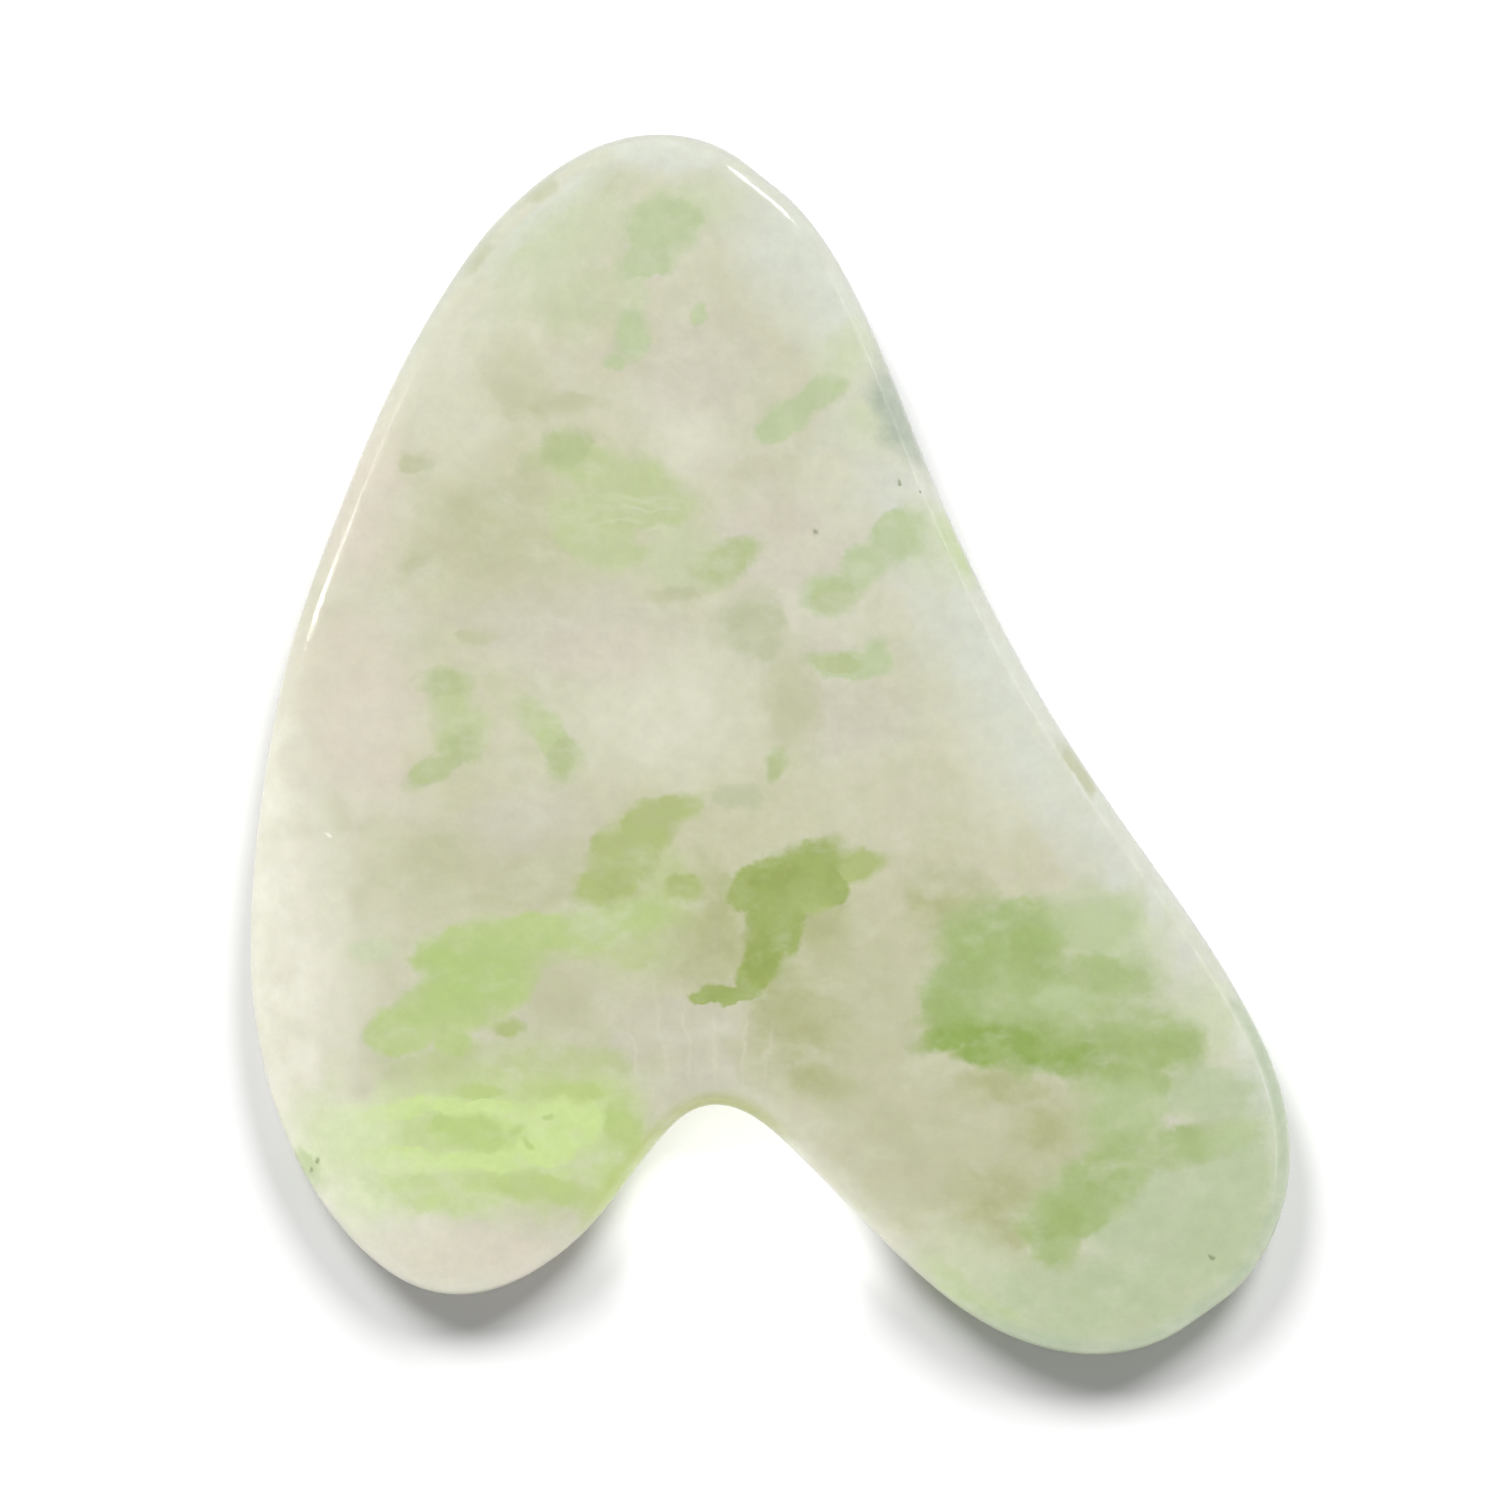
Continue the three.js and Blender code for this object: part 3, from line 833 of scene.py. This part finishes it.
def clouded_colour(graph, place):
    """The ground, the layers of clouding with some painted rim light, highlights and a glint, and the
    painted light and shade of the edge, one over the other.
    """
    x, y, _ = graph.add("ShaderNodeSeparateXYZ", {"Vector": warped(graph, place)}).outputs
    x, y = same_three(graph, x), same_three(graph, y)
    height = graph.add("ShaderNodeSeparateXYZ", {"Vector": place}).outputs["Z"]
    drift = graph.noise(place, SOFTNESS_NOISE).outputs["Fac"]
    ragged = graph.noise(place, RAGGED_NOISE).outputs["Fac"]
    ragged = graph.math("MULTIPLY_ADD", ragged, 2 * RAGGED, -RAGGED - SPREAD)
    mottled = mottling(graph, place)
    colour = base_colour(graph, place)
    # Clouding, with painted rim light, highlight bands and a glint among the layers.
    for count, (_, seen, softness, strength, patches) in enumerate(LAYERS):
        distance = patch_distance(graph, x, y, patches)
        mask = patch_mask(graph, distance, ragged, drift, softness)
        mask = graph.math("MULTIPLY", mask, mottled[count % len(mottled)])
        colour = graph.mix(graph.math("MULTIPLY", mask, strength), colour, stone_colour(seen))
    # Painted light and shade of the rounded edge, fading out up the edge.
    for _, seen, (full, gone), softness, strength, patches in PAINTED_EDGE_LIGHT_AND_SHADE:
        distance = patch_distance(graph, x, y, patches)
        mask = patch_mask(graph, distance, ragged, drift, softness)
        mask = graph.math("MULTIPLY", mask, graph.ramp(height, full, gone, strength, 0.0))
        colour = graph.mix(mask, colour, stone_colour(seen))
    return finished_colour(graph, place, colour)


def make_jade():
    """The stone's material: clouded colour with painted light and shade on the rims, uneven polish,
    and light spreading inside.
    """
    material = bpy.data.materials.new("clouded_jade")
    material.use_nodes = True
    tree = material.node_tree
    tree.nodes.clear()
    graph = Graph(tree)
    place = graph.scaled(graph.add("ShaderNodeTexCoord").outputs["Object"], 1 / MM)
    colour = clouded_colour(graph, place)
    shader = graph.add("ShaderNodeBsdfPrincipled")
    graph.set(shader.inputs["Base Color"], colour)
    polish = graph.noise(place, POLISH_NOISE).outputs["Fac"]
    graph.set(shader.inputs["Roughness"], graph.ramp(polish, *ROUGHNESS_RAMP))
    shader.inputs["IOR"].default_value = REFRACTION
    shader.subsurface_method = "RANDOM_WALK"
    shader.inputs["Subsurface Weight"].default_value = SCATTERING
    shader.inputs["Subsurface Radius"].default_value = SCATTER_RADIUS
    shader.inputs["Subsurface Scale"].default_value = SCATTER_DEPTH * MM
    relief = graph.noise(place, RELIEF_NOISE).outputs["Fac"]
    inputs = {"Height": relief, "Strength": RELIEF_STRENGTH, "Distance": RELIEF_HEIGHT * MM}
    bump = graph.add("ShaderNodeBump", inputs)
    graph.set(shader.inputs["Normal"], bump.outputs["Normal"])
    output = graph.add("ShaderNodeOutputMaterial")
    graph.set(output.inputs["Surface"], shader.outputs["BSDF"])
    return material


# ---------------------------------------------------------------- studio and camera

FLOOR_SIDE = 6.0
FLOOR_SQUARES = 8  # along each side of the floor's mesh
FLOOR_COLOUR = (0.92, 0.92, 0.92, 1)
FLOOR_ROUGHNESS = 0.9

WHITE = (1, 1, 1, 1)
ZENITH_LIGHT = 0.2  # of the dome overhead
HORIZON_LIGHT = 0.9  # that the dome gains towards the horizon
HORIZON_FALLOFF = 3.0

# Suns that light the floor only: name, azimuth, elevation.
SUNS = [
    ("shadow_left", 120, 42),
    ("shadow_right", 66, 42),
]
SUN_DISTANCE = 0.9  # of the lamps, of which only the direction matters
SUN_SPREAD = 22  # degrees
SUN_STRENGTH = 2.2

# A narrow spot straight down on the floor only, which thins the shadow in the notch.
SNOOT_PLACE = (-0.0008, -0.0262, 0.5)
SNOOT_RADIUS = 0.0118  # of the lit disc on the floor
SNOOT_SIZE = 0.002  # of the lamp, which softens its shadows
SNOOT_POWER = 8.5

# Soft boxes that light the stone only: name, azimuth, elevation, distance, size, power, and whether
# the polish mirrors them.
SOFT_BOXES = [
    ("key", 120, 72, 0.9, (0.6, 0.6), 8.2, False),
    ("left_fill", 170, 25, 0.8, (0.6, 0.4), 1.4, False),
    ("right_fill", 5, 20, 0.8, (0.6, 0.4), 1.6, False),
    ("front_fill", -75, 14, 0.8, (1.0, 0.25), 3.0, False),
    ("left_glint", 161, 11, 0.5, (0.012, 0.07), 0.11, True),
    ("left_streak", 156, 11, 0.5, (0.09, 0.05), 0.025, True),
    ("head_glint", 55, 2, 0.5, (0.11, 0.03), 0.35, True),
    ("right_line", 12, 3, 0.6, (0.5, 0.02), 0.12, True),
]

CAMERA_HEIGHT = 0.6
CAMERA_RANGE = 20  # far enough for the whole floor
VIEW_SIDE = 0.0908  # of the board's mid plane that the picture takes in
VIEW_SHIFT = (-0.00124, -0.00033)  # the picture's centre from the board's


def make_floor():
    """A plain pale floor."""
    bm = bmesh.new()
    bmesh.ops.create_grid(
        bm, x_segments=FLOOR_SQUARES, y_segments=FLOOR_SQUARES, size=FLOOR_SIDE / 2
    )
    mesh = bpy.data.meshes.new("studio_floor")
    bm.to_mesh(mesh)
    bm.free()
    floor = bpy.data.objects.new("studio_floor", mesh)
    bpy.context.scene.collection.objects.link(floor)
    material = bpy.data.materials.new("studio_floor")
    material.use_nodes = True
    shader = material.node_tree.nodes["Principled BSDF"]
    shader.inputs["Base Color"].default_value = FLOOR_COLOUR
    shader.inputs["Roughness"].default_value = FLOOR_ROUGHNESS
    mesh.materials.append(material)
    return floor


def from_direction(azimuth, elevation, distance):
    """A place in metres, azimuth from +X towards +Y."""
    azimuth, elevation = math.radians(azimuth), math.radians(elevation)
    flat = distance * math.cos(elevation)
    return (flat * math.cos(azimuth), flat * math.sin(azimuth), distance * math.sin(elevation))


def add_lamp(data, place, lit, shine=False):
    """Puts a light in the scene. It lights one group of things, and only with shine is it mirrored."""
    lamp = bpy.data.objects.new(data.name, data)
    lamp.location = place
    lamp.visible_glossy = shine
    lamp.light_linking.receiver_collection = lit
    bpy.context.scene.collection.objects.link(lamp)
    return lamp


def aim_at_origin(lamp):
    lamp.rotation_euler = (-lamp.location).to_track_quat("-Z", "Y").to_euler()


def make_sun(name, azimuth, elevation, lit):
    """An even light from one side, whose shadows soften with its spread."""
    data = bpy.data.lights.new(name, "SUN")
    data.angle = math.radians(SUN_SPREAD)
    data.energy = SUN_STRENGTH
    aim_at_origin(add_lamp(data, from_direction(azimuth, elevation, SUN_DISTANCE), lit))


def make_snoot(name, lit):
    data = bpy.data.lights.new(name, "SPOT")
    data.spot_size = 2 * math.atan(SNOOT_RADIUS / SNOOT_PLACE[2])
    data.spot_blend = 1.0
    data.shadow_soft_size = SNOOT_SIZE
    data.energy = SNOOT_POWER
    add_lamp(data, SNOOT_PLACE, lit).visible_camera = False


def make_soft_box(name, place, size, power, shine, lit):
    data = bpy.data.lights.new(name, "AREA")
    data.shape = "RECTANGLE"
    data.size, data.size_y = size
    data.energy = power
    lamp = add_lamp(data, place, lit, shine)
    lamp.visible_camera = False
    aim_at_origin(lamp)


def make_world():
    """A white dome, brighter towards the horizon than overhead."""
    world = bpy.data.worlds.new("studio")
    world.use_nodes = True
    graph = Graph(world.node_tree)
    background = world.node_tree.nodes["Background"]
    direction = graph.add("ShaderNodeTexCoord").outputs["Generated"]
    height = graph.add("ShaderNodeSeparateXYZ", {"Vector": direction}).outputs["Z"]
    height = graph.math("MAXIMUM", height, 0.0)
    low = graph.math("POWER", graph.math("SUBTRACT", 1.0, height), HORIZON_FALLOFF)
    strength = graph.math("MULTIPLY_ADD", low, HORIZON_LIGHT, ZENITH_LIGHT)
    background.inputs["Color"].default_value = WHITE
    graph.set(background.inputs["Strength"], strength)
    bpy.context.scene.world = world


def group(name, piece):
    """A collection of one object, for the lights to be limited to."""
    made = bpy.data.collections.new(name)
    made.objects.link(piece)
    return made


def make_studio(stone):
    """The dome, the floor, and the lights on the floor and on the stone."""
    bpy.context.scene.view_settings.view_transform = "Standard"
    make_world()
    on_stone = group("on_stone", stone)
    on_floor = group("on_floor", make_floor())
    for name, azimuth, elevation in SUNS:
        make_sun(name, azimuth, elevation, on_floor)
    make_snoot("notch_fill", on_floor)
    for name, azimuth, elevation, distance, size, power, shine in SOFT_BOXES:
        place = from_direction(azimuth, elevation, distance)
        make_soft_box(name, place, size, power, shine, on_stone)


def make_camera():
    """A camera straight above the board, looking down."""
    data = bpy.data.cameras.new("camera")
    mid_height = (cad_box[0].z + cad_box[1].z) / 2
    data.lens = data.sensor_width * (CAMERA_HEIGHT - mid_height) / VIEW_SIDE
    data.clip_end = CAMERA_RANGE
    camera = bpy.data.objects.new("camera", data)
    centre = (cad_box[0] + cad_box[1]) / 2
    camera.location = (centre.x + VIEW_SHIFT[0], centre.y + VIEW_SHIFT[1], CAMERA_HEIGHT)
    bpy.context.scene.collection.objects.link(camera)
    bpy.context.scene.camera = camera


make_camera()
stone = make_stone()
make_studio(stone)
stone.data.materials.append(make_jade())
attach(stone, "root")
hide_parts(NODE)
